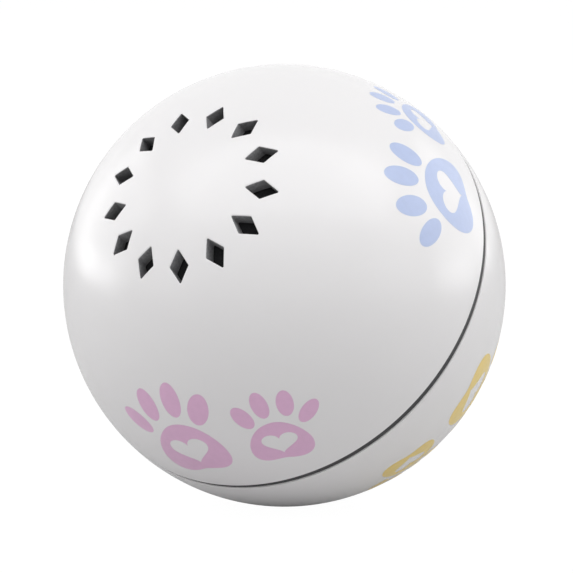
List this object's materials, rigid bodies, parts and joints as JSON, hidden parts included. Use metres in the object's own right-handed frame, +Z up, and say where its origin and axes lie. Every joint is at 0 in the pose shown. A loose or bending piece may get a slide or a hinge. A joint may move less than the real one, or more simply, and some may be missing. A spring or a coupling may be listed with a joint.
{
  "type": "self-rolling cat ball",
  "caption": "White plastic ball of two shells with a ring of vents and paw prints; a geared motor unit hangs from its axle and rolls it.",
  "frame": {"origin": "centre of the ball", "axes": "+Z up as the ball rests, with the motor unit hanging lowest; the rolling axle lies in the YZ plane and its vented end points towards -Y and 32.6 degrees above level; +X is level"},
  "size_m": [0.066, 0.066, 0.066],
  "materials": {
    "shell_white": "gloss",
    "seal_rubber": "matte",
    "unit_black": "satin",
    "screw_steel": "satin",
    "pin_steel": "polished",
    "gear_nylon": "satin",
    "bush_brass": "satin",
    "felt_charcoal": "matte",
    "plate_grey": "satin",
    "motor_steel": "satin",
    "motor_cap": "satin",
    "contact_brass": "satin",
    "magnet_ferrite": "matte",
    "cell_foil": "satin",
    "ballast_steel": "satin",
    "board_green": "satin",
    "socket_steel": "satin",
    "switch_black": "satin",
    "lamp_lens": "gloss",
    "chip_black": "matte",
    "header_cream": "satin",
    "lead_red": "satin",
    "lead_black": "satin",
    "gear_brass": "satin",
    "core_iron": "satin",
    "winding_copper": "satin",
    "button_grey": "satin"
  },
  "bodies": {
    "base_half": {"base_shell": "shell_white", "sealing_ring": "seal_rubber", "drive_hub": "unit_black", "hub_screws": "screw_steel", "hub_grub_screw": "screw_steel", "spindle": "pin_steel", "thrust_washer": "pin_steel", "output_gear": "gear_nylon"},
    "vented_half": {"vented_shell": "shell_white", "pole_bush": "bush_brass", "scent_felt": "felt_charcoal", "felt_retainer": "unit_black"},
    "motor_unit": {"case_base": "unit_black", "case_cover": "unit_black", "gear_plate": "plate_grey", "spindle_bushes": "bush_brass", "case_screws": "screw_steel", "idler_pin": "pin_steel", "gear_pins": "pin_steel", "motor_can": "motor_steel", "motor_end_cap": "motor_cap", "motor_terminals": "contact_brass", "motor_magnets": "magnet_ferrite", "motor_brushes": "contact_brass", "motor_screws": "screw_steel", "battery_cell": "cell_foil", "ballast_weight": "ballast_steel", "circuit_board": "board_green", "board_screws": "screw_steel", "usb_socket": "socket_steel", "tact_switch": "switch_black", "status_lamp": "lamp_lens", "controller_chip": "chip_black", "motion_sensor": "chip_black", "charger_chip": "chip_black", "wire_headers": "header_cream", "motor_lead_red": "lead_red", "motor_lead_black": "lead_black", "cell_lead_red": "lead_red", "cell_lead_black": "lead_black"},
    "motor_rotor": {"motor_shaft": "pin_steel", "motor_pinion": "gear_brass", "rotor_core": "core_iron", "rotor_windings": "winding_copper", "commutator": "contact_brass"},
    "first_gear_body": {"first_gear": "gear_nylon"},
    "second_gear_body": {"second_gear": "gear_nylon"},
    "button": {"power_button": "button_grey"}
  },
  "joints": [
    {"name": "unit_swing", "type": "hinge", "parent": "base_half", "child": "motor_unit", "pos_m": [0, 0, 0], "axis": [0, -0.8425, 0.5388], "continuous": true},
    {"name": "second_gear_spin", "type": "hinge", "parent": "motor_unit", "child": "second_gear_body", "pos_m": [-0.00749, -0.00863, -0.00235], "axis": [0, -0.8425, 0.5388], "continuous": true},
    {"name": "first_gear_spin", "type": "hinge", "parent": "motor_unit", "child": "first_gear_body", "pos_m": [-0.00033, -0.01072, -0.00749], "axis": [0, -0.8425, 0.5388], "continuous": true},
    {"name": "motor_spin", "type": "hinge", "parent": "motor_unit", "child": "motor_rotor", "pos_m": [0.00828, -0.00435, -0.0068], "axis": [0, -0.8425, 0.5388], "continuous": true},
    {"name": "vented_half_pull", "type": "slide", "parent": "base_half", "child": "vented_half", "axis": [0, -0.8425, 0.5388], "range_m": [0, 0.05]},
    {"name": "button_press", "type": "slide", "parent": "motor_unit", "child": "button", "axis": [0, 0.8425, -0.5388], "range_m": [0, 0.0004], "stiffness_N_per_m": 400}
  ],
  "couplings": [
    {"joint": "second_gear_spin", "follows": "unit_swing", "ratio": 2.3333},
    {"joint": "first_gear_spin", "follows": "unit_swing", "ratio": -6.0667},
    {"joint": "motor_spin", "follows": "unit_swing", "ratio": 16.987}
  ]
}
